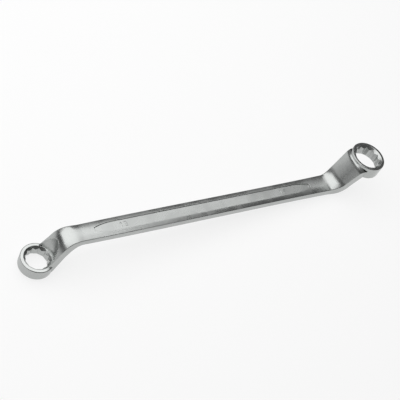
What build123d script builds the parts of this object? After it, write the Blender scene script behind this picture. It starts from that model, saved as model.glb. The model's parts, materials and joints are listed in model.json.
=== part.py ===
from build123d import *
import os
from math import asin, atan2, cos, degrees, hypot, pi, radians, sin, sqrt, tan
from typing import NamedTuple

# A double-ended deep-offset ring spanner, 13 mm by 16 mm, forged in one piece.
# It is drawn level: X runs along the shank to the 16 mm end, and Z is square to the
# broad faces and along both socket axes. Last of all it is laid down as it rests on a
# bench, on the rim of its low ring and the underside of the far crank.

# Shank, a crowned bar that is thickest at its middle
centre_distance = 238.2
shank_width = 13.0
shank_edge_height = 4.4
crown_height = 0.9
edge_radius = 0.5

# Recessed panel on both broad faces, with pointed ends
panel_width = 6.5
panel_floor_height = 2.3
panel_tip_width = 2.2
panel_arch_length = 13.0
panel_draft_angle = 20.0
small_panel_margin = 8.5
large_panel_margin = 14.2

# Sizes stamped in the panel's floor
numeral_height = 3.3
numeral_gap = 1.3
numeral_stroke = 0.45
numeral_depth = 0.25
numeral_flag_share = 0.25
numeral_bowl_sweep = 240.0
numeral_stem_sweep = 65.0
small_numeral_inset = 28.3
large_numeral_inset = 36.7

# 13 mm end, whose ring hangs below the shank
small_across_flats = 13.0
small_ring_diameter = 21.4
small_ring_height = 7.8
small_rim_radius = 0.7
small_offset = 20.2
small_crank_angle = 65.0
small_bend_radius = 14.8
small_root_width = 12.2
small_bend_width = 15.6
small_neck_width = 17.3
small_root_edge_height = 4.2
small_bend_edge_height = 5.0
small_neck_edge_height = 5.3
small_neck_crown_height = 1.6
small_neck_reach = 4.9

# 16 mm end, whose ring stands above the shank
large_across_flats = 16.0
large_ring_diameter = 24.4
large_ring_height = 9.4
large_rim_radius = 0.45
large_offset = 21.5
large_crank_angle = 65.0
large_bend_radius = 13.8
large_root_width = 13.7
large_bend_width = 17.8
large_neck_width = 20.2
large_root_edge_height = 4.9
large_bend_edge_height = 6.3
large_neck_edge_height = 6.5
large_neck_crown_height = 2.8
large_neck_reach = 7.3

# Extra thickness on the outside of both cranks, in the middle of their bends
crank_bulge = 1.2

# Twelve-point sockets, led in by a cone at each face. The shares are of the ring's
# wall, from the socket's corners outwards.
socket_clearance = 0.15
socket_corner_radius = 0.3
lead_in_angle = 45.0
lead_in_share = 0.33
spot_face_share = 0.5

# Sections along the bar, closer together towards the cranks
shank_steps = 8
shank_grading = 1.5
shank_taper = 4.0
bend_steps = 6
neck_steps = 4
rest_steps = 200


def blend(start, end, share):
    return start + (end - start) * share


class Station(NamedTuple):
    """A place on the bar's centre line, its slope there, and the section's sizes."""

    x: float
    z: float
    slope: float
    width: float
    edge_height: float
    crown: float

    @property
    def thickness(self):
        return self.edge_height + 2 * self.crown

    @property
    def underside(self):
        """X and Z of the lowest line of the section."""
        half = self.thickness / 2
        return self.x + half * sin(self.slope), self.z - half * cos(self.slope)


class Head(NamedTuple):
    """One end of the tool: side is -1 for the low ring and 1 for the high ring."""

    side: int
    across_flats: float
    ring_radius: float
    ring_height: float
    rim_radius: float
    offset: float
    crank: float
    bend_radius: float
    root_width: float
    bend_width: float
    neck_width: float
    root_edge_height: float
    bend_edge_height: float
    neck_edge_height: float
    neck_crown_height: float
    neck_reach: float

    @property
    def ring_x(self):
        return self.side * centre_distance / 2

    @property
    def ring_z(self):
        return self.side * self.offset

    @property
    def corner_radius(self):
        """Radius to the outer corners of the twelve-point socket."""
        return (self.across_flats + socket_clearance) / 2 / cos(pi / 6)

    @property
    def lead_in_radius(self):
        return blend(self.corner_radius, self.ring_radius, lead_in_share)

    @property
    def spot_face_radius(self):
        """Radius to which the neck is cleared around the socket's axis."""
        return blend(self.corner_radius, self.ring_radius, spot_face_share)

    @property
    def straight(self):
        """Length of the neck from its bend to the ring's middle plane."""
        return (self.offset - self.bend_radius * (1 - cos(self.crank))) / sin(self.crank)

    @property
    def crank_start(self):
        """Distance from the middle of the shank to the start of the crank."""
        run = self.bend_radius * sin(self.crank) + self.straight * cos(self.crank)
        return centre_distance / 2 - self.neck_reach - run


small = Head(
    side=-1,
    across_flats=small_across_flats,
    ring_radius=small_ring_diameter / 2,
    ring_height=small_ring_height,
    rim_radius=small_rim_radius,
    offset=small_offset,
    crank=radians(small_crank_angle),
    bend_radius=small_bend_radius,
    root_width=small_root_width,
    bend_width=small_bend_width,
    neck_width=small_neck_width,
    root_edge_height=small_root_edge_height,
    bend_edge_height=small_bend_edge_height,
    neck_edge_height=small_neck_edge_height,
    neck_crown_height=small_neck_crown_height,
    neck_reach=small_neck_reach,
)
large = Head(
    side=1,
    across_flats=large_across_flats,
    ring_radius=large_ring_diameter / 2,
    ring_height=large_ring_height,
    rim_radius=large_rim_radius,
    offset=large_offset,
    crank=radians(large_crank_angle),
    bend_radius=large_bend_radius,
    root_width=large_root_width,
    bend_width=large_bend_width,
    neck_width=large_neck_width,
    root_edge_height=large_root_edge_height,
    bend_edge_height=large_bend_edge_height,
    neck_edge_height=large_neck_edge_height,
    neck_crown_height=large_neck_crown_height,
    neck_reach=large_neck_reach,
)
heads = (small, large)


def eased(start, end, share):
    """As blend, but level at both ends."""
    return blend(start, end, (1 - cos(pi * share)) / 2)


def neck_station(head, distance):
    """The station at a distance along the neck from the start of its crank."""
    bend = head.bend_radius * head.crank
    slope = min(distance / head.bend_radius, head.crank)
    along = max(0, distance - bend)
    bend_share = min(1, distance / bend)
    neck_share = along / head.straight
    bulge = crank_bulge * sin(pi * bend_share) ** 2
    run = head.bend_radius * sin(slope) + along * cos(slope)
    rise = head.bend_radius * (1 - cos(slope)) + along * sin(slope)
    width = eased(head.root_width, head.bend_width, bend_share)
    width += (head.neck_width - head.bend_width) * neck_share
    edge_height = eased(head.root_edge_height, head.bend_edge_height, bend_share)
    edge_height += (head.neck_edge_height - head.bend_edge_height) * neck_share
    crown_share = distance / (bend + head.straight)
    return Station(
        x=head.side * (head.crank_start + run + bulge / 2 * sin(slope)),
        z=head.side * (rise - bulge / 2 * cos(slope)),
        slope=slope,
        width=width,
        edge_height=edge_height + bulge,
        crown=blend(crown_height, head.neck_crown_height, crown_share),
    )


def neck_stations(head):
    """Stations from the start of the crank to beyond the face that levels the neck."""
    bend = head.bend_radius * head.crank
    straight = head.straight + head.ring_height / 2
    stops = [bend * step / bend_steps for step in range(bend_steps)]
    stops += [bend + straight * step / neck_steps for step in range(neck_steps + 1)]
    return [neck_station(head, stop) for stop in stops]


def shank_stations(head):
    """Stations from near the middle of the shank to just before the crank."""
    stations = []
    for step in range(shank_steps - 1, 0, -1):
        share = 1 - (step / shank_steps) ** shank_grading
        taper = share**shank_taper
        stations.append(
            Station(
                x=head.side * head.crank_start * share,
                z=0,
                slope=0,
                width=blend(shank_width, head.root_width, taper),
                edge_height=blend(shank_edge_height, head.root_edge_height, taper),
                crown=crown_height,
            )
        )
    return stations


def section(station):
    """The bar's section at a station: crowned above and below, flat at its edges."""
    plane = Plane(
        origin=(station.x, 0, station.z),
        x_dir=(0, 1, 0),
        z_dir=(cos(station.slope), 0, sin(station.slope)),
    )
    side = station.width / 2
    edge = station.edge_height / 2
    top = station.thickness / 2
    with BuildSketch(plane) as profile:
        with BuildLine():
            ThreePointArc((-side, edge), (0, top), (side, edge))
            Line((side, edge), (side, -edge))
            ThreePointArc((side, -edge), (0, -top), (-side, -edge))
            Line((-side, -edge), (-side, edge))
        make_face()
        fillet(profile.vertices(), radius=edge_radius)
    return profile.sketch


def ring(head):
    """The ring with rounded rims, its twelve-point socket led in from both faces."""
    with BuildPart() as body:
        with Locations((head.ring_x, 0, head.ring_z)):
            Cylinder(head.ring_radius, head.ring_height)
        fillet(body.edges().filter_by(GeomType.CIRCLE), radius=head.rim_radius)
        with BuildSketch(Plane.XY.offset(head.ring_z)) as twelve_point:
            with Locations((head.ring_x, 0)):
                for turn in (0, 30):
                    RegularPolygon(
                        radius=(head.across_flats + socket_clearance) / 2,
                        side_count=6,
                        major_radius=False,
                        rotation=turn,
                    )
            fillet(twelve_point.vertices(), radius=socket_corner_radius)
        extrude(amount=head.ring_height, both=True, mode=Mode.SUBTRACT)
        for face in (-1, 1):
            with Locations((head.ring_x, 0, head.ring_z + face * head.ring_height / 2)):
                Cone(
                    bottom_radius=0 if face > 0 else head.lead_in_radius,
                    top_radius=head.lead_in_radius if face > 0 else 0,
                    height=head.lead_in_radius / tan(radians(lead_in_angle)),
                    align=(
                        Align.CENTER,
                        Align.CENTER,
                        Align.MAX if face > 0 else Align.MIN,
                    ),
                    mode=Mode.SUBTRACT,
                )
    return body.part


def clearance(head):
    """What a neck leaves clear: its socket's surround, and all beyond the ring's face.

    A bevel slopes away from the face around the socket's surround.
    """
    with BuildPart() as cut:
        with Locations((0, 0, head.ring_height / 2 - head.rim_radius)):
            Cylinder(head.spot_face_radius + head.ring_height, head.ring_height * 2)
            Cone(
                bottom_radius=head.spot_face_radius + head.ring_height,
                top_radius=head.spot_face_radius,
                height=head.ring_height,
                align=(Align.CENTER, Align.CENTER, Align.MAX),
                mode=Mode.SUBTRACT,
            )
        Cylinder(head.spot_face_radius, (head.offset + head.ring_height) * 2)
    return cut.part


def stamp_one(x):
    """A figure one: an upright with a short flag at its top."""
    top = numeral_height / 2
    flag = numeral_height * numeral_flag_share
    with Locations((x, 0)):
        SlotCenterToCenter(numeral_height, numeral_stroke, rotation=90)
    with Locations((x - flag / 2, top - flag / 2)):
        SlotCenterToCenter(flag * sqrt(2), numeral_stroke, rotation=45)


def stamp_three(x):
    """A figure three: one open bowl over another."""
    bowl = numeral_height / 4
    for level, start in ((bowl, numeral_bowl_sweep - 90), (-bowl, 90)):
        stroke = CenterArc(
            (x, level), bowl, start, -numeral_bowl_sweep, mode=Mode.PRIVATE
        )
        SlotArc(stroke, numeral_stroke)


def stamp_six(x):
    """A figure six: a closed bowl under a curved stem."""
    bowl = numeral_height / 4
    stem_radius = (numeral_height / 2 + bowl) / sin(radians(numeral_stem_sweep))
    stem = CenterArc(
        (x - bowl + stem_radius, -bowl),
        stem_radius,
        180,
        -numeral_stem_sweep,
        mode=Mode.PRIVATE,
    )
    with Locations((x, -bowl)):
        Circle(bowl + numeral_stroke / 2)
        Circle(bowl - numeral_stroke / 2, mode=Mode.SUBTRACT)
    SlotArc(stem, numeral_stroke)


# What the panels take out of the bar, the upper one with its stamped sizes
panel_side = panel_width / 2
panel_tip = panel_tip_width / 2
panel_left = small_panel_margin - small.crank_start
panel_right = large.crank_start - large_panel_margin
left_arch = panel_left + panel_arch_length
right_arch = panel_right - panel_arch_length

with BuildPart() as panel:
    with BuildSketch(Plane.XY.offset(panel_floor_height)):
        with BuildLine():
            Line((panel_left, -panel_tip), (panel_left, panel_tip))
            TangentArc(
                (left_arch, panel_side), (panel_left, panel_tip), tangent=(-1, 0)
            )
            Line((left_arch, panel_side), (right_arch, panel_side))
            TangentArc(
                (right_arch, panel_side), (panel_right, panel_tip), tangent=(1, 0)
            )
            Line((panel_right, panel_tip), (panel_right, -panel_tip))
            TangentArc(
                (right_arch, -panel_side), (panel_right, -panel_tip), tangent=(1, 0)
            )
            Line((right_arch, -panel_side), (left_arch, -panel_side))
            TangentArc(
                (left_arch, -panel_side), (panel_left, -panel_tip), tangent=(-1, 0)
            )
        make_face()
    extrude(amount=shank_edge_height, taper=-panel_draft_angle)

numeral_pitch = numeral_height / 2 + numeral_gap
small_numeral_x = small_numeral_inset - small.crank_start
large_numeral_x = large.crank_start - large_numeral_inset

with BuildPart() as stamped_panel:
    add(panel.part)
    with BuildSketch(Plane.XY.offset(panel_floor_height)):
        stamp_one(small_numeral_x - numeral_pitch / 2)
        stamp_three(small_numeral_x + numeral_pitch / 2)
        stamp_one(large_numeral_x - numeral_pitch / 2)
        stamp_six(large_numeral_x + numeral_pitch / 2)
    extrude(amount=numeral_depth, both=True)

# The bar, from the low ring's neck along the shank to the high ring's neck, with its
# ends cleared around the sockets and its panels sunk
stations = neck_stations(small)[::-1]
stations += shank_stations(small)[::-1]
stations += [Station(0, 0, 0, shank_width, shank_edge_height, crown_height)]
stations += shank_stations(large)
stations += neck_stations(large)

with BuildPart() as bar:
    loft([section(station) for station in stations])
    for end in heads:
        with Locations((end.ring_x, 0, end.ring_z)):
            add(
                clearance(end),
                rotation=(90 * (1 - end.side), 0, 0),
                mode=Mode.SUBTRACT,
            )
    add(stamped_panel.part, mode=Mode.SUBTRACT)
    add(panel.part.mirror(Plane.XY), mode=Mode.SUBTRACT)

# The forging as a whole
with BuildPart() as forging:
    add(bar.part)
    for end in heads:
        add(ring(end))

# Its place at rest: the bench touches the low ring's inner rim, round in side view,
# and the far crank's underside
rim_x = small.ring_x + small.ring_radius - small.rim_radius
rim_z = small.ring_z - small.ring_height / 2 + small.rim_radius


def bench_slope(station):
    """Slope of the line under the rim that touches the station's underside."""
    x, z = station.underside
    return atan2(z - rim_z, x - rim_x) + asin(
        small.rim_radius / hypot(x - rim_x, z - rim_z)
    )


crank_length = large.bend_radius * large.crank
tilt = min(
    bench_slope(neck_station(large, crank_length * step / rest_steps))
    for step in range(rest_steps)
)

level = forging.part.fix()
footprint = (Rot(0, degrees(tilt), 0) * level).bounding_box()

with BuildPart() as ring_spanner:
    with Locations((-footprint.center().X, 0, -footprint.min.Z)):
        add(level, rotation=(0, degrees(tilt), 0))

os.makedirs("parts", exist_ok=True)
ring_spanner.part.label = "ring_spanner"
export_step(ring_spanner.part, "parts/ring_spanner.step")
print("tilt", round(degrees(tilt), 3), "size", ring_spanner.part.bounding_box().size)
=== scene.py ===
"""A double-ended ring spanner, drop-forged and satin-chromed, on a plain pale floor.

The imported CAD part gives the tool's size and its place at rest. This file remakes its
skin with soft edges, plates it, and sets the stage and the camera. Each step is an
operator in the sidebar's panel, and main() runs them in order.

Shapes are worked out level: X along the shank to the 16 mm end, Z along both sockets.
"""

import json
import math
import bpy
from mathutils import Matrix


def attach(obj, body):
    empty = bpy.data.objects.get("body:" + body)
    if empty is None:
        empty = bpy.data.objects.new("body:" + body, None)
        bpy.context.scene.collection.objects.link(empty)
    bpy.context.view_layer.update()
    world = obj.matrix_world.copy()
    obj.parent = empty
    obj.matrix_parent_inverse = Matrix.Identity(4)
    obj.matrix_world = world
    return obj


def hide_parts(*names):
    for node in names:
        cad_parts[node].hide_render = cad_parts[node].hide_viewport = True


bl_info = {
    "name": "Ring Spanner",
    "version": (1, 0, 0),
    "blender": (4, 5, 0),
    "location": "View3D > Sidebar > Spanner",
    "description": "Builds and plates a double-ended ring spanner and sets its stage",
    "category": "Object",
}

import bpy
import numpy as np
from mathutils import Euler, Matrix, Vector

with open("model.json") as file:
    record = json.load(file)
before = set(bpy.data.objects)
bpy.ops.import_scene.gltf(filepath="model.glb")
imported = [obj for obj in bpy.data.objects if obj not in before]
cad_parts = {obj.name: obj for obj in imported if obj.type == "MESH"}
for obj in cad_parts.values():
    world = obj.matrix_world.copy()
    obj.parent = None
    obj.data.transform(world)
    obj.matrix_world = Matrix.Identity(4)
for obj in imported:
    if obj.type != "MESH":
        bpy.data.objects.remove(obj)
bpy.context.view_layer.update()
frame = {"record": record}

MM = 0.001
SENSOR_WIDTH = 36


def length(name, description, size):
    """A length property whose default is given in millimetres."""
    return bpy.props.FloatProperty(
        name=name,
        description=description,
        subtype="DISTANCE",
        unit="LENGTH",
        precision=5,
        default=size * MM,
    )


def share(name, description, size):
    """A property between 0 and 1."""
    return bpy.props.FloatProperty(
        name=name, description=description, subtype="FACTOR", min=0, max=1, default=size
    )


def slant(name, description, degrees):
    """An angle property whose default is given in degrees."""
    return bpy.props.FloatProperty(
        name=name,
        description=description,
        subtype="ANGLE",
        unit="ROTATION",
        default=math.radians(degrees),
    )


def brightness(name, description, size):
    """A brightness property, where 1 is the background's white."""
    return bpy.props.FloatProperty(
        name=name, description=description + ", where 1 is white", min=0, default=size
    )


def location(name, description, metres):
    """A place property in metres."""
    return bpy.props.FloatVectorProperty(
        name=name,
        description=description,
        subtype="TRANSLATION",
        unit="LENGTH",
        default=metres,
    )


def color(name, description, shade):
    """A colour property."""
    return bpy.props.FloatVectorProperty(
        name=name,
        description=description,
        subtype="COLOR",
        size=3,
        min=0,
        max=1,
        default=shade,
    )


class SPANNER_PG_shank(bpy.types.PropertyGroup):
    """Shank, its sunk panels and the figures in the upper one"""

    centre_distance: length("Centre Distance", "Distance between the sockets", 238.2)
    width: length("Width", "Width at the middle", 13.0)
    edge_height: length("Edge Height", "Height of the side faces at the middle", 4.4)
    crown: length("Crown", "Rise of the broad faces over their edges", 0.9)
    edge_radius: length("Edge Radius", "Rounding of the long edges", 0.5)
    panel_width: length("Panel Width", "Width of the panels' floor", 6.5)
    panel_floor: length("Panel Floor", "Height of the panel's floor", 2.3)
    panel_tip: length("Panel Tip", "Width of the panels' blunt ends", 2.2)
    panel_arch: length("Panel Arch", "Length of the panels' curved ends", 13.0)
    panel_draft: slant("Panel Draft", "Slant of the panels' walls", 20)
    small_margin: length("Margin 13", "From the low crank to the panel", 8.5)
    large_margin: length("Margin 16", "From the high crank to the panel", 14.2)
    rim_softness: length("Rim Softness", "Rounding of the panels' rims", 0.14)
    figure_height: length("Figure Height", "Height of the stamped figures", 3.3)
    figure_gap: length("Figure Gap", "Gap between the stamped figures", 1.3)
    figure_stroke: length("Figure Stroke", "Width of the figures' strokes", 0.5)
    small_inset: length("Inset 13", "From the low crank to its figures", 28.3)
    large_inset: length("Inset 16", "From the high crank to its figures", 36.7)


class HeadSizes:
    """What either end of the tool has in common"""

    crank: slant("Crank", "Slope of the neck", 65)
    bulge: length("Bulge", "Extra thickness on the outside of the bend", 1.2)
    joint_softness: length("Joint Softness", "Rounding where neck meets ring", 0.8)
    lead_in: share("Lead-in", "Part of the ring's wall taken by the lead-in", 0.33)
    spot_face: share("Spot Face", "Part of the ring's wall cleared of the neck", 0.5)
    softness: length("Softness", "Softening of the broached edges", 0.12)


class SPANNER_PG_small(HeadSizes, bpy.types.PropertyGroup):
    """13 mm end, whose ring hangs below the shank"""

    across_flats: length("Across Flats", "Socket, with its clearance", 13.15)
    ring_diameter: length("Ring Diameter", "Outside of the ring", 21.35)
    ring_height: length("Ring Height", "Height of the ring", 7.8)
    rim_radius: length("Rim Radius", "Rounding of the ring's rims", 0.7)
    offset: length("Offset", "From the shank's middle to the ring's", 20.2)
    bend: length("Bend", "Bend radius at the shank", 14.8)
    root_width: length("Root Width", "Width where the crank starts", 12.2)
    bend_width: length("Bend Width", "Width where the bend ends", 15.6)
    neck_width: length("Neck Width", "Width at the ring", 17.3)
    root_edge: length("Root Edge", "Side faces where the crank starts", 4.2)
    bend_edge: length("Bend Edge", "Side faces where the bend ends", 5.0)
    neck_edge: length("Neck Edge", "Side faces at the ring", 5.3)
    neck_crown: length("Neck Crown", "Rise of the neck's faces at the ring", 1.6)
    reach: length("Reach", "From the neck's middle to the socket's axis", 4.9)


class SPANNER_PG_large(HeadSizes, bpy.types.PropertyGroup):
    """16 mm end, whose ring stands above the shank"""

    across_flats: length("Across Flats", "Socket, with its clearance", 16.15)
    ring_diameter: length("Ring Diameter", "Outside of the ring", 24.37)
    ring_height: length("Ring Height", "Height of the ring", 9.4)
    rim_radius: length("Rim Radius", "Rounding of the ring's rims", 0.45)
    offset: length("Offset", "From the shank's middle to the ring's", 21.5)
    bend: length("Bend", "Bend radius at the shank", 13.8)
    root_width: length("Root Width", "Width where the crank starts", 13.7)
    bend_width: length("Bend Width", "Width where the bend ends", 17.8)
    neck_width: length("Neck Width", "Width at the ring", 20.2)
    root_edge: length("Root Edge", "Side faces where the crank starts", 4.9)
    bend_edge: length("Bend Edge", "Side faces where the bend ends", 6.3)
    neck_edge: length("Neck Edge", "Side faces at the ring", 6.5)
    neck_crown: length("Neck Crown", "Rise of the neck's faces at the ring", 2.8)
    reach: length("Reach", "From the neck's middle to the socket's axis", 7.3)


class SPANNER_PG_finish(bpy.types.PropertyGroup):
    """Satin chrome plating"""

    plating: color("Plating", "Colour of the chrome plating", (0.46, 0.473, 0.465))
    roughness: share("Roughness", "Roughness of the satin finish", 0.27)
    polish: share("Polish", "Roughness polished off the rings' faces", 0.5)
    # Painted shade: how much darker the plating's colour is painted in the grain's hollows
    painted_hollow_shade: share("Hollow Shade", "Darkening in the grain's hollows", 0.07)
    ripple: length("Ripple", "Spacing of the slow ripples under the plating", 9.0)
    ripple_depth: length("Ripple Depth", "Depth of the slow ripples", 0.036)
    grain: length("Grain", "Size of the blasted grain", 0.4)
    grain_depth: length("Grain Depth", "Depth of the blasted grain", 0.02)
    grain_force: share("Grain Force", "How much of the grain's depth shows", 0.35)


class SPANNER_PG_stage(bpy.types.PropertyGroup):
    """Floor, lamps and camera"""

    floor_color: color("Floor", "Colour of the floor", (0.95, 0.95, 0.95))
    floor_white: share("Floor White", "How far the floor hides its shading", 0.8)
    floor_size: length("Floor Size", "Length of the floor's sides", 12000)
    backdrop_height: length("Backdrop", "Height of the low walls round the floor", 600)
    room: brightness("Room", "Brightness of the room around the softboxes", 0.12)
    main_place: location("Main Place", "Middle of the softbox overhead", (-0.28, 0.4, 0.6))
    main_length: length("Main Length", "Size of the softbox overhead along X", 1200)
    main_width: length("Main Width", "Size of the softbox overhead along Y", 1150)
    main_level: brightness("Main Level", "Brightness of the softbox overhead", 1.3)
    fill_place: location("Fill Place", "Middle of the weaker softbox", (0.53, 0.42, 0.6))
    fill_length: length("Fill Length", "Size of the weaker softbox along X", 420)
    fill_width: length("Fill Width", "Size of the weaker softbox along Y", 480)
    fill_level: brightness("Fill Level", "Brightness of the weaker softbox", 0.9)
    camera_place: location(
        "Camera Place",
        "Place of the camera, with the tool level",
        (-0.35261, -0.26905, 0.46455),
    )
    camera_turn: bpy.props.FloatVectorProperty(
        name="Camera Turn",
        description="Turn of the camera, with the tool level",
        subtype="EULER",
        unit="ROTATION",
        default=(0.68551, -0.363332, -0.487208),
    )
    lens: bpy.props.FloatProperty(
        name="Lens",
        description=f"Focal length in mm, for a sensor {SENSOR_WIDTH} mm wide",
        min=1,
        default=89.91,
    )


def rest_matrix(shank, small):
    """From the level drawing to the tool's place on the floor, as the part records it."""
    mounts = {mount["name"]: mount for mount in frame["record"]["mounts"]}
    axis = Vector(mounts["socket_13"]["axis"]).normalized()
    turn = Vector((0, 0, 1)).rotation_difference(axis).to_matrix().to_4x4()
    level = Vector((-shank.centre_distance / 2, 0, -small.offset))
    shift = Vector(mounts["socket_13"]["pos_m"]) - turn @ level
    return Matrix.Translation(shift) @ turn


def node(tree, kind, inputs=(), **settings):
    """A new node of that kind, with its settings and its inputs' values."""
    made = tree.nodes.new(kind)
    for name, value in settings.items():
        setattr(made, name, value)
    for key, value in dict(inputs).items():
        if isinstance(value, bpy.types.NodeSocket):
            tree.links.new(value, made.inputs[key])
        else:
            made.inputs[key].default_value = value
    return made


def arithmetic(tree):
    """A function that adds a Math node to the tree and returns what it gives."""

    def work(operation, *values):
        return node(
            tree, "ShaderNodeMath", dict(enumerate(values)), operation=operation
        ).outputs[0]

    return work


def blend(start, end, part):
    """Between start and end, by that part of the way."""
    return start + (end - start) * part


def eased(start, end, part):
    """As blend, but level at both ends and held beyond them."""
    part = np.clip(part, 0, 1)
    return blend(start, end, (1 - np.cos(np.pi * part)) / 2)


def soft_min(one, other, softness):
    """The lesser of two heights, rounded where they cross."""
    gap = np.clip(1 - np.abs(one - other) / softness, 0, None)
    return np.minimum(one, other) - gap * gap * softness / 4


# A socket is made of two hexagons, whose flats take up twice this angle each
HALF_FLAT = math.pi / 6


def corner_radius(head):
    """From the socket's axis to its corners."""
    return head.across_flats / 2 / math.cos(HALF_FLAT)


# Power by which the shank widens from its middle to its ends
SHANK_TAPER = 4


class Neck:
    """The centre line of a neck and its sections' sizes, from the shank outwards."""

    def __init__(self, shank, head, side):
        self.shank = shank
        self.head = head
        self.side = side
        bend_run = head.bend * math.sin(head.crank)
        bend_rise = head.bend * (1 - math.cos(head.crank))
        straight = (head.offset - bend_rise) / math.sin(head.crank)
        self.bend_length = head.bend * head.crank
        self.total = self.bend_length + straight
        run = bend_run + straight * math.cos(head.crank)
        self.start = shank.centre_distance / 2 - head.reach - run

    def stations(self, distance):
        """Place, slope, half width, half edge height and crown at those distances."""
        head = self.head
        slope = np.minimum(distance / head.bend, head.crank)
        along = np.clip(distance - self.bend_length, 0, None)
        run = head.bend * np.sin(slope) + along * math.cos(head.crank)
        rise = head.bend * (1 - np.cos(slope)) + along * math.sin(head.crank)
        bend_part = distance / self.bend_length
        neck_part = along / (self.total - self.bend_length)
        width = eased(head.root_width, head.bend_width, bend_part)
        width = width + (head.neck_width - head.bend_width) * neck_part
        edge = eased(head.root_edge, head.bend_edge, bend_part)
        edge = edge + (head.neck_edge - head.bend_edge) * neck_part
        bulge = head.bulge * np.sin(np.pi * np.clip(bend_part, 0, 1)) ** 2
        edge = edge + bulge
        run = run + bulge / 2 * np.sin(slope)
        rise = rise - bulge / 2 * np.cos(slope)
        crown = blend(self.shank.crown, head.neck_crown, distance / self.total)
        x = self.side * (self.start + run)
        return x, self.side * rise, slope, width / 2, edge / 2, crown

    def shank_stations(self, distance):
        """The same between the middle of the shank and the start of the crank."""
        taper = (distance / self.start) ** SHANK_TAPER
        half = blend(self.shank.width, self.head.root_width, taper) / 2
        edge = blend(self.shank.edge_height, self.head.root_edge, taper) / 2
        level = np.zeros_like(distance)
        crown = np.full_like(distance, self.shank.crown)
        return self.side * distance, level, level, half, edge, crown


# Places across a broad face: parts of the panel's floor, then steps over its rim in
# hundredths of a millimetre, then parts of the margin, then steps round the long edge
HUNDREDTH = MM / 100
FLOOR_PARTS = (0, 0.4, 0.75)
RIM_STEPS = (-30, -12, -2, 6, 13, 20, 28, 38, 54, 80)
MARGIN_PARTS = (0.18, 0.4, 0.62, 0.82, 1)
CORNER_STEPS = 5

# Places along a half: rows to the panel's curved end, steps over that end in hundredths
# of a millimetre, rows along its curve and on to the crank, and rows up the neck, which
# are read from finer samples
MIDDLE_ROWS = 16
TIP_STEPS = (-140, -90, -55, -38, -26, -16, -6, 4, 20, 60)
ARCH_START = 120
ARCH_ROWS = 16
ROOT_ROWS = 14
NECK_ROWS = 48
NECK_SAMPLES = 500

# Past the panel's ends its lines fan out by this slope, up to this part of the width
FAN_SLOPE = 0.25
FAN_PART = 0.4


def panel_half_width(shank, x, left, right):
    """Half the width of the panel's floor at x, held at its tips beyond its ends."""
    side = shank.panel_width / 2
    tip = shank.panel_tip / 2
    radius = (shank.panel_arch**2 + (side - tip) ** 2) / (2 * (side - tip))
    into = np.clip(np.minimum(x - left, right - x), 0, shank.panel_arch)
    return side - radius + np.sqrt(radius**2 - (shank.panel_arch - into) ** 2)


def section(shank, stations, left, right):
    """Points round the bar at each station, as an array of station, point and XYZ."""
    x, z, slope, side, edge, crown = (value[:, None] for value in stations)
    panel = panel_half_width(shank, x, left, right)
    beyond = np.maximum(left - x, x - right)
    panel = panel + np.clip((beyond - MM) * FAN_SLOPE, 0, side * FAN_PART)
    arc = (side**2 + crown**2) / (2 * crown)
    radius = shank.edge_radius
    lean = np.arcsin((side - radius) / arc)
    corner_y = side - radius
    turn_y = corner_y + radius * np.sin(lean)
    corner_n = edge + crown - arc + np.sqrt(arc**2 - turn_y**2) - radius * np.cos(lean)
    floor_y = np.array(FLOOR_PARTS) * (panel + RIM_STEPS[0] * HUNDREDTH)
    rim_y = panel + np.array(RIM_STEPS) * HUNDREDTH
    margin_y = blend(rim_y[:, -1:], turn_y, np.array(MARGIN_PARTS))
    y = np.concatenate([floor_y, rim_y, margin_y], axis=1)
    top = edge + crown - arc + np.sqrt(arc**2 - y**2)
    outside = np.maximum(np.maximum(y - panel, beyond), 0)
    wall = shank.panel_floor + outside / math.tan(shank.panel_draft)
    n = soft_min(top, wall, shank.rim_softness)
    angles = blend(np.pi / 2 - lean, 0, np.arange(1, CORNER_STEPS + 1) / CORNER_STEPS)
    corner_y = corner_y + radius * np.cos(angles)
    corner_n = corner_n + radius * np.sin(angles)
    y = np.concatenate([y, corner_y, side], axis=1)
    n = np.concatenate([n, corner_n, 0 * side], axis=1)
    quarter = np.arange(y.shape[1])
    order = [quarter, quarter[-2::-1], quarter[1:], quarter[-2:0:-1]]
    signs = [(1, 1), (1, -1), (-1, -1), (-1, 1)]
    y = np.concatenate([sy * y[:, part] for part, (sy, _) in zip(order, signs)], axis=1)
    n = np.concatenate([sn * n[:, part] for part, (_, sn) in zip(order, signs)], axis=1)
    return np.stack([x - n * np.sin(slope), y, z + n * np.cos(slope)], axis=2)


def neck_rows(shank, neck, left, right):
    """Rows along a neck that end together on the cylinder cleared round the socket.

    Its outer side is levelled under the ring's face, with a bevel round that cylinder.
    The rows' corners and sides follow a little lower, so that none meet there.
    """
    head = neck.head
    distance = np.linspace(0, neck.total + head.ring_height / 2, NECK_SAMPLES)
    stations = neck.stations(distance)
    points = section(shank, stations, left, right)
    axis = neck.side * shank.centre_distance / 2
    away = np.hypot(points[..., 0] - axis, points[..., 1])
    clear = blend(corner_radius(head), head.ring_diameter / 2, head.spot_face)
    face = head.offset + head.ring_height / 2 - head.rim_radius
    face = face - np.clip(away - clear, 0, head.ring_height)
    x, z, slope, _, edge, _ = (value[:, None] for value in stations)
    out = (points[..., 2] - z) * np.cos(slope) - (points[..., 0] - x) * np.sin(slope)
    face = face - np.clip(edge - neck.side * out, 0, 2 * shank.edge_radius)
    rise = neck.side * points[..., 2]
    points[..., 2] = neck.side * soft_min(rise, face, head.joint_softness)
    inside = (away < clear) & (distance[:, None] > neck.bend_length)
    after = inside.argmax(axis=0)
    lines = np.arange(points.shape[1])
    outer, inner = away[after - 1, lines], away[after, lines]
    stop = distance[after - 1] + (outer - clear) / (outer - inner) * distance[1]
    made = np.empty((NECK_ROWS + 1, points.shape[1], 3))
    for line in lines:
        stops = np.linspace(0, stop[line], NECK_ROWS + 1)
        for axis_index in range(3):
            made[:, line, axis_index] = np.interp(
                stops, distance, points[:, line, axis_index]
            )
    return made


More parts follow.
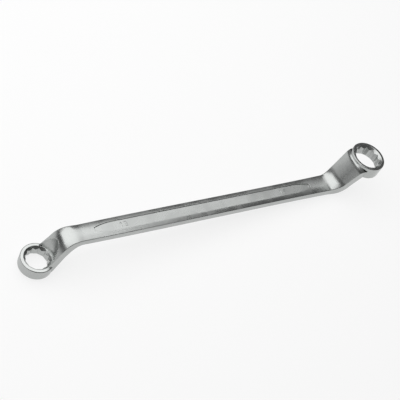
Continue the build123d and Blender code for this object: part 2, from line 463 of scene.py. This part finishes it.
def bar_mesh(shank, small, large):
    """The shank and both necks as one closed skin of quads."""
    necks = (Neck(shank, small, -1), Neck(shank, large, 1))
    left = shank.small_margin - necks[0].start
    right = necks[1].start - shank.large_margin
    tip = np.array(TIP_STEPS) * HUNDREDTH
    arch = np.linspace(ARCH_START * HUNDREDTH, shank.panel_arch, ARCH_ROWS)
    halves = []
    for neck, panel_end in ((necks[0], -left), (necks[1], right)):
        inner = panel_end - np.concatenate([tip, arch])
        middle = np.linspace(0, inner.min(), MIDDLE_ROWS)[:-1]
        root = np.linspace(inner.max(), neck.start, ROOT_ROWS)[1:-1]
        distance = np.sort(np.concatenate([middle, inner, root]))
        straight = section(shank, neck.shank_stations(distance), left, right)
        halves.append(np.concatenate([straight, neck_rows(shank, neck, left, right)]))
    grid = np.concatenate([halves[0][:0:-1], halves[1]])
    count = grid.shape[1]
    faces = [
        (
            row * count + line,
            row * count + (line + 1) % count,
            (row + 1) * count + (line + 1) % count,
            (row + 1) * count + line,
        )
        for row in range(len(grid) - 1)
        for line in range(count)
    ]
    half = count // 2
    for base, flip in ((0, 1), ((len(grid) - 1) * count, -1)):
        for line in range(-count // 4, count // 4):
            wall = [
                base + line % count,
                base + (half - line) % count,
                base + (half - line - 1) % count,
                base + (line + 1) % count,
            ]
            faces.append(list(dict.fromkeys(wall))[::flip])
    mesh = bpy.data.meshes.new("shank")
    mesh.from_pydata(grid.reshape(-1, 3), [], faces)
    return mesh


def bake(piece):
    """Give the piece the mesh that its modifiers make, in their place."""
    bpy.context.view_layer.update()
    graph = bpy.context.evaluated_depsgraph_get()
    mesh = bpy.data.meshes.new_from_object(piece.evaluated_get(graph), depsgraph=graph)
    piece.modifiers.clear()
    piece.data = mesh
    mesh.name = piece.name


def placed(name, data):
    """A new object of that mesh, curve, lamp or camera, in the scene."""
    piece = bpy.data.objects.new(name, data)
    bpy.context.scene.collection.objects.link(piece)
    return piece


def finish_piece(piece, sharpest=math.pi):
    """Shade faces by their size, so that broad ones stay true beside their soft edges."""
    piece.data.shade_smooth()
    piece.data.set_sharp_from_angle(angle=sharpest)
    weighted = piece.modifiers.new("weighted", "WEIGHTED_NORMAL")
    weighted.mode = "FACE_AREA"
    weighted.keep_sharp = True
    bake(piece)
    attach(piece, "root")


# Edges sharper than this are the stamped figures' own. Each round of punches stands a
# little higher than the last, so that no two of their surfaces fall together
STAMP_ANGLE = math.radians(60)
PUNCH_LIFT = 0.01 * MM


def stroke_arc(x, y, radius, start, sweep, steps=20):
    """Points along an arc whose angles are in degrees."""
    angles = np.radians(np.linspace(start, start + sweep, steps))
    return [(x + radius * math.cos(a), y + radius * math.sin(a)) for a in angles]


def figure_strokes(figure, height):
    """The two strokes of a plain 1, 3 or 6 about its middle."""
    top = height / 2
    bowl = height / 4
    if figure == "1":
        return [[(0, -top), (0, top)], [(-bowl, top - bowl), (0, top)]]
    if figure == "3":
        # The bowls cross a little at the waist
        crossing = 8
        sweep = -240 - crossing
        return [
            stroke_arc(0, bowl, bowl, 150, sweep),
            stroke_arc(0, -bowl, bowl, 90 + crossing, sweep),
        ]
    stem_sweep = 65
    stem = (top + bowl) / math.sin(math.radians(stem_sweep))
    return [
        stroke_arc(0, -bowl, bowl, 180, 360, steps=28),
        stroke_arc(stem - bowl, -bowl, stem, 180, -stem_sweep),
    ]


def stamp_mesh(shank, small, large, order):
    """Round punches along one stroke of each figure, at the panel's floor."""
    curve = bpy.data.curves.new("punches", "CURVE")
    curve.dimensions = "3D"
    curve.bevel_depth = shank.figure_stroke / 2
    curve.bevel_resolution = 2
    curve.use_fill_caps = True
    floor = shank.panel_floor + PUNCH_LIFT * (1 + order)
    pitch = shank.figure_height / 2 + shank.figure_gap
    middles = (
        ("13", shank.small_inset - Neck(shank, small, -1).start),
        ("16", Neck(shank, large, 1).start - shank.large_inset),
    )
    for number, middle in middles:
        for place, figure in zip((-pitch / 2, pitch / 2), number):
            stroke = figure_strokes(figure, shank.figure_height)[order]
            spline = curve.splines.new("POLY")
            spline.use_cyclic_u = math.dist(stroke[0], stroke[-1]) < HUNDREDTH
            if spline.use_cyclic_u:
                stroke = stroke[1:]
            spline.points.add(len(stroke) - 1)
            for point, (x, y) in zip(spline.points, stroke):
                point.co = (middle + place + x, y, floor, 1)
    punches = placed("punches", curve)
    bpy.context.view_layer.update()
    graph = bpy.context.evaluated_depsgraph_get()
    mesh = bpy.data.meshes.new_from_object(punches.evaluated_get(graph))
    bpy.data.objects.remove(punches)
    return mesh


# Columns between a socket's corner and the ridge beside it, how they crowd to both, and
# the angle within which a point counts as being on one
SOCKET_POINTS = 12
CORNER_COLUMNS = 6
CROWDING = 0.143
ON_COLUMN = 0.001

# The ring's half profile runs from the middle of its outside over its rim to the middle
# of its bore: the middle and the reach of its rows on the polished face, and its first
# row in the bore
PROFILE_ROWS = 12
POLISHED_ROWS = (4.5, 1.6)
BORE_ROW = 8

# In softnesses: how far corners and ridges are rounded, and the turn over the lead-in's
# edge as steps outwards and up, which the turn at the lead-in's foot mirrors
CORNER_ROUNDING = 0.4
RIDGE_ROUNDING = 0.1
LEAD_TURN = ((1, 0), (0.076, -0.184), (-0.707, -0.707))
FOOT_TURN = [(-up, -across) for across, up in reversed(LEAD_TURN)]


def socket_ring_tree():
    """A ring with rounded rims and a twelve-point socket led in from both faces."""
    tree = bpy.data.node_groups.new("Socket Ring", "GeometryNodeTree")
    sizes = ("Across Flats", "Radius", "Height", "Rim", "Lead-in Radius", "Softness")
    for name in sizes:
        tree.interface.new_socket(name, in_out="INPUT", socket_type="NodeSocketFloat")
    tree.interface.new_socket(
        "Material", in_out="INPUT", socket_type="NodeSocketMaterial"
    )
    tree.interface.new_socket(
        "Geometry", in_out="OUTPUT", socket_type="NodeSocketGeometry"
    )
    given = tree.nodes.new("NodeGroupInput").outputs
    work = arithmetic(tree)
    soft = given["Softness"]
    index = node(tree, "GeometryNodeInputIndex").outputs[0]
    column = work("FLOOR", work("DIVIDE", work("ADD", index, 0.5), PROFILE_ROWS))
    row = work("SUBTRACT", index, work("MULTIPLY", column, PROFILE_ROWS))
    polish = work("COMPARE", row, *POLISHED_ROWS)

    # In the bore the columns crowd towards the corners between the flats
    step = math.pi / SOCKET_POINTS
    turn = work("DIVIDE", column, CORNER_COLUMNS)
    crowd = work("MULTIPLY", work("SINE", work("MULTIPLY", turn, math.tau)), CROWDING)
    crowd = work("MULTIPLY", crowd, work("GREATER_THAN", row, BORE_ROW - 0.5))
    angle = work("MULTIPLY", work("SUBTRACT", turn, crowd), step)
    off_corner = work("PINGPONG", angle, step)
    flat = work("COSINE", work("SUBTRACT", HALF_FLAT, off_corner))
    bore = work("DIVIDE", work("DIVIDE", given["Across Flats"], 2), flat)
    at_corner = work("COMPARE", off_corner, 0, ON_COLUMN)
    at_ridge = work("COMPARE", off_corner, step, ON_COLUMN)
    rounding = work("MULTIPLY", at_corner, -CORNER_ROUNDING)
    rounding = work("MULTIPLY_ADD", at_ridge, RIDGE_ROUNDING, rounding)
    bore = work("MULTIPLY_ADD", rounding, soft, bore)

    # Half the profile, as radius and height, with each edge softened
    radius = given["Radius"]
    half = work("DIVIDE", given["Height"], 2)
    rim = given["Rim"]
    rim_middle = work("SUBTRACT", radius, rim)
    rim_start = work("SUBTRACT", half, rim)
    lead = given["Lead-in Radius"]
    foot = work("ADD", work("SUBTRACT", half, lead), bore)
    profile = [(radius, 0)]
    for rim_turn in np.radians((0, 30, 60, 90)):
        across = math.cos(rim_turn)
        up = math.sin(rim_turn)
        profile.append(
            (
                work("MULTIPLY_ADD", rim, across, rim_middle),
                work("MULTIPLY_ADD", rim, up, rim_start),
            )
        )
    for base, height, turns in ((lead, half, LEAD_TURN), (bore, foot, FOOT_TURN)):
        for across, up in turns:
            profile.append(
                (
                    work("MULTIPLY_ADD", soft, across, base),
                    work("MULTIPLY_ADD", soft, up, height),
                )
            )
    profile.append((bore, 0))
    chosen = []
    for values in zip(*profile):
        switch = node(tree, "GeometryNodeIndexSwitch", data_type="FLOAT")
        while len(switch.index_switch_items) < PROFILE_ROWS:
            switch.index_switch_items.new()
        tree.links.new(row, switch.inputs[0])
        for socket, value in zip(switch.inputs[1:], values):
            if isinstance(value, bpy.types.NodeSocket):
                tree.links.new(value, socket)
            else:
                socket.default_value = value
        chosen.append(switch.outputs[0])
    place = node(
        tree,
        "ShaderNodeCombineXYZ",
        {
            "X": work("MULTIPLY", chosen[0], work("COSINE", angle)),
            "Y": work("MULTIPLY", chosen[0], work("SINE", angle)),
            "Z": chosen[1],
        },
    ).outputs[0]
    grid = node(
        tree,
        "GeometryNodeMeshGrid",
        {
            "Vertices X": 2 * SOCKET_POINTS * CORNER_COLUMNS + 1,
            "Vertices Y": PROFILE_ROWS,
        },
    )
    polished = node(
        tree,
        "GeometryNodeStoreNamedAttribute",
        {"Geometry": grid.outputs["Mesh"], "Name": "polish", "Value": polish},
        data_type="FLOAT",
        domain="POINT",
    ).outputs[0]
    upper = node(
        tree, "GeometryNodeSetPosition", {"Geometry": polished, "Position": place}
    ).outputs[0]
    lower = node(
        tree, "GeometryNodeTransform", {"Geometry": upper, "Scale": (1, 1, -1)}
    ).outputs[0]
    lower = node(tree, "GeometryNodeFlipFaces", {"Mesh": lower}).outputs[0]
    both = node(tree, "GeometryNodeJoinGeometry")
    tree.links.new(upper, both.inputs[0])
    tree.links.new(lower, both.inputs[0])
    closed = node(
        tree,
        "GeometryNodeMergeByDistance",
        {"Geometry": both.outputs[0], "Distance": HUNDREDTH / 10},
    )
    real = node(tree, "GeometryNodeRealizeInstances", {"Geometry": closed.outputs[0]})
    plated = node(
        tree,
        "GeometryNodeSetMaterial",
        {"Geometry": real.outputs[0], "Material": given["Material"]},
    )
    out = tree.nodes.new("NodeGroupOutput")
    tree.links.new(plated.outputs[0], out.inputs[0])
    return tree


# Between these values of the ripples the roughness goes from its first share to its last
RIPPLE_RANGE = (0.35, 0.65)
GLOSS_RANGE = (0.85, 1.2)


def satin_chrome(finish):
    """Satin chrome over a forging: slow ripples, blasted grain with painted shade in its
    hollows, and uneven gloss.
    """
    material = bpy.data.materials.new("plating")
    material.use_nodes = True
    tree = material.node_tree
    link = tree.links.new
    shader = tree.nodes["Principled BSDF"]
    shader.inputs["Metallic"].default_value = 1
    place = node(tree, "ShaderNodeTexCoord").outputs["Object"]
    ripple = node(
        tree,
        "ShaderNodeTexNoise",
        {"Vector": place, "Scale": 1 / finish.ripple, "Detail": 1.5, "Roughness": 0.4},
    )
    grain = node(
        tree,
        "ShaderNodeTexNoise",
        {"Vector": place, "Scale": 1 / finish.grain, "Detail": 3, "Roughness": 0.6},
    )
    gloss = node(
        tree,
        "ShaderNodeMapRange",
        {
            "Value": ripple.outputs["Fac"],
            "From Min": RIPPLE_RANGE[0],
            "From Max": RIPPLE_RANGE[1],
            "To Min": finish.roughness * GLOSS_RANGE[0],
            "To Max": finish.roughness * GLOSS_RANGE[1],
        },
    )
    work = arithmetic(tree)
    polish = node(tree, "ShaderNodeAttribute", attribute_name="polish").outputs["Fac"]
    satin = work("SUBTRACT", 1, work("MULTIPLY", polish, finish.polish))
    link(work("MULTIPLY", gloss.outputs["Result"], satin), shader.inputs["Roughness"])
    # Painted shade: the colour is darker where the grain dips, as if its hollows lay in
    # shade
    tint = node(tree, "ShaderNodeMix", data_type="RGBA")
    hollow = [part * (1 - finish.painted_hollow_shade) for part in finish.plating]
    tint.inputs["A"].default_value = (*hollow, 1)
    tint.inputs["B"].default_value = (*finish.plating, 1)
    link(grain.outputs["Fac"], tint.inputs["Factor"])
    link(tint.outputs["Result"], shader.inputs["Base Color"])
    waves = node(
        tree,
        "ShaderNodeBump",
        {
            "Height": ripple.outputs["Fac"],
            "Strength": 1,
            "Distance": finish.ripple_depth,
        },
    )
    blast = node(
        tree,
        "ShaderNodeBump",
        {
            "Height": grain.outputs["Fac"],
            "Strength": finish.grain_force,
            "Distance": finish.grain_depth,
            "Normal": waves.outputs["Normal"],
        },
    )
    link(blast.outputs["Normal"], shader.inputs["Normal"])
    return material


def seen_as_background(tree):
    """1 for camera, glossy and transmission rays, which take the background's white."""
    rays = node(tree, "ShaderNodeLightPath").outputs
    work = arithmetic(tree)
    total = work("MAXIMUM", rays["Is Camera Ray"], rays["Is Glossy Ray"])
    return work("MAXIMUM", total, rays["Is Transmission Ray"])


class SPANNER_OT_plating(bpy.types.Operator):
    """Mix the satin chrome that the whole tool is plated in"""

    bl_idname = "spanner.plating"
    bl_label = "Mix Plating"
    bl_options = {"REGISTER", "UNDO"}

    def execute(self, context):
        satin_chrome(context.scene.spanner_finish)
        return {"FINISHED"}


class SPANNER_OT_shank(bpy.types.Operator):
    """Forge the shank with both necks, sink its panels and stamp its figures"""

    bl_idname = "spanner.shank"
    bl_label = "Forge Shank"
    bl_options = {"REGISTER", "UNDO"}

    def execute(self, context):
        scene = context.scene
        sizes = (scene.spanner_shank, scene.spanner_small, scene.spanner_large)
        shank = placed("shank", bar_mesh(*sizes))
        for order in range(2):
            punches = placed("punches", stamp_mesh(*sizes, order))
            cut = shank.modifiers.new("stamp", "BOOLEAN")
            cut.object = punches
            cut.operation = "DIFFERENCE"
            cut.solver = "EXACT"
            bake(shank)
            bpy.data.objects.remove(punches)
        shank.data.transform(rest_matrix(sizes[0], sizes[1]))
        shank.data.materials.clear()
        shank.data.materials.append(bpy.data.materials["plating"])
        finish_piece(shank, STAMP_ANGLE)
        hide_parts("ring_spanner")
        return {"FINISHED"}


class SPANNER_OT_rings(bpy.types.Operator):
    """Forge both rings and broach their sockets"""

    bl_idname = "spanner.rings"
    bl_label = "Forge Rings"
    bl_options = {"REGISTER", "UNDO"}

    def execute(self, context):
        scene = context.scene
        shank = scene.spanner_shank
        rest = rest_matrix(shank, scene.spanner_small)
        tree = socket_ring_tree()
        inputs = {
            item.name: item.identifier
            for item in tree.interface.items_tree
            if item.in_out == "INPUT"
        }
        for name, head, side in (
            ("ring_13", scene.spanner_small, -1),
            ("ring_16", scene.spanner_large, 1),
        ):
            ring = placed(name, bpy.data.meshes.new(name))
            forged = ring.modifiers.new("socket ring", "NODES")
            forged.node_group = tree
            radius = head.ring_diameter / 2
            lead = blend(corner_radius(head), radius, head.lead_in)
            for key, value in (
                ("Across Flats", head.across_flats),
                ("Radius", radius),
                ("Height", head.ring_height),
                ("Rim", head.rim_radius),
                ("Lead-in Radius", lead),
                ("Softness", head.softness),
                ("Material", bpy.data.materials["plating"]),
            ):
                forged[inputs[key]] = value
            bake(ring)
            ring.data.materials.pop(index=0)
            centre = Vector((side * shank.centre_distance / 2, 0, side * head.offset))
            ring.data.transform(rest @ Matrix.Translation(centre))
            finish_piece(ring)
        return {"FINISHED"}


class SPANNER_OT_stage(bpy.types.Operator):
    """Lay the floor with its low walls, hang both softboxes and set the camera"""

    bl_idname = "spanner.stage"
    bl_label = "Set Stage"
    bl_options = {"REGISTER", "UNDO"}

    def execute(self, context):
        scene = context.scene
        stage = scene.spanner_stage
        self.floor(stage)
        self.room(scene, stage)
        main_size = (stage.main_length, stage.main_width)
        fill_size = (stage.fill_length, stage.fill_width)
        self.softbox("main softbox", stage.main_place, main_size, stage.main_level)
        self.softbox("fill softbox", stage.fill_place, fill_size, stage.fill_level)
        self.camera(scene, stage)
        scene.view_settings.view_transform = "Standard"
        return {"FINISHED"}

    def floor(self, stage):
        """A matt floor with low walls, whose shading mostly gives way to white."""
        half = stage.floor_size / 2
        square = ((-half, -half), (half, -half), (half, half), (-half, half))
        corners = [(*corner, z) for z in (0, stage.backdrop_height) for corner in square]
        walls = [(a, a + 4, (a + 1) % 4 + 4, (a + 1) % 4) for a in range(4)]
        mesh = bpy.data.meshes.new("floor")
        mesh.from_pydata(corners, [], [(0, 1, 2, 3), *walls])
        material = bpy.data.materials.new("floor")
        material.use_nodes = True
        tree = material.node_tree
        tree.nodes.clear()
        matt = node(tree, "ShaderNodeBsdfDiffuse", {"Color": (*stage.floor_color, 1)})
        white = node(tree, "ShaderNodeEmission", {"Strength": 1})
        work = arithmetic(tree)
        hidden = work("MULTIPLY", seen_as_background(tree), stage.floor_white)
        mix = node(
            tree,
            "ShaderNodeMixShader",
            {0: hidden, 1: matt.outputs[0], 2: white.outputs[0]},
        )
        node(tree, "ShaderNodeOutputMaterial", {"Surface": mix.outputs[0]})
        mesh.materials.append(material)
        placed("floor", mesh)

    def room(self, scene, stage):
        """A plain grey room, which the plating sees above the walls."""
        world = bpy.data.worlds.new("room")
        world.use_nodes = True
        background = world.node_tree.nodes["Background"]
        background.inputs["Color"].default_value = (1, 1, 1, 1)
        background.inputs["Strength"].default_value = stage.room
        scene.world = world

    def softbox(self, name, place, size, level):
        """A lamp that shines straight down and looks as bright as that level."""
        lamp = bpy.data.lights.new(name, "AREA")
        lamp.shape = "RECTANGLE"
        lamp.size, lamp.size_y = size
        lamp.energy = 4 * size[0] * size[1] * level
        placed(name, lamp).location = place

    def camera(self, scene, stage):
        """The camera, carried from the level drawing to the tool's rest."""
        lens = bpy.data.cameras.new("camera")
        lens.sensor_width = SENSOR_WIDTH
        lens.lens = stage.lens
        lens.clip_start = 10 * MM
        camera = placed("camera", lens)
        level = Euler(stage.camera_turn).to_matrix().to_4x4()
        level.translation = stage.camera_place
        camera.matrix_world = rest_matrix(scene.spanner_shank, scene.spanner_small) @ level
        scene.camera = camera


GROUPS = {
    "spanner_shank": SPANNER_PG_shank,
    "spanner_small": SPANNER_PG_small,
    "spanner_large": SPANNER_PG_large,
    "spanner_finish": SPANNER_PG_finish,
    "spanner_stage": SPANNER_PG_stage,
}
STEPS = (SPANNER_OT_plating, SPANNER_OT_shank, SPANNER_OT_rings, SPANNER_OT_stage)


class SPANNER_PT_build(bpy.types.Panel):
    """The spanner's sizes and build steps, in order"""

    bl_idname = "SPANNER_PT_build"
    bl_label = "Ring Spanner"
    bl_space_type = "VIEW_3D"
    bl_region_type = "UI"
    bl_category = "Spanner"

    def draw(self, context):
        for group in GROUPS:
            settings = getattr(context.scene, group)
            box = self.layout.box()
            for name in settings.bl_rna.properties.keys():
                if name not in ("rna_type", "name"):
                    box.prop(settings, name)
        for step in STEPS:
            self.layout.operator(step.bl_idname)


def register():
    for cls in (*GROUPS.values(), *STEPS, SPANNER_PT_build):
        bpy.utils.register_class(cls)
    for name, group in GROUPS.items():
        setattr(bpy.types.Scene, name, bpy.props.PointerProperty(type=group))


def unregister():
    for name in GROUPS:
        delattr(bpy.types.Scene, name)
    for cls in (SPANNER_PT_build, *STEPS[::-1], *GROUPS.values()):
        bpy.utils.unregister_class(cls)


def main():
    """Build the whole scene."""
    register()
    bpy.ops.spanner.plating()
    bpy.ops.spanner.shank()
    bpy.ops.spanner.rings()
    bpy.ops.spanner.stage()


if __name__ == "__main__":
    main()
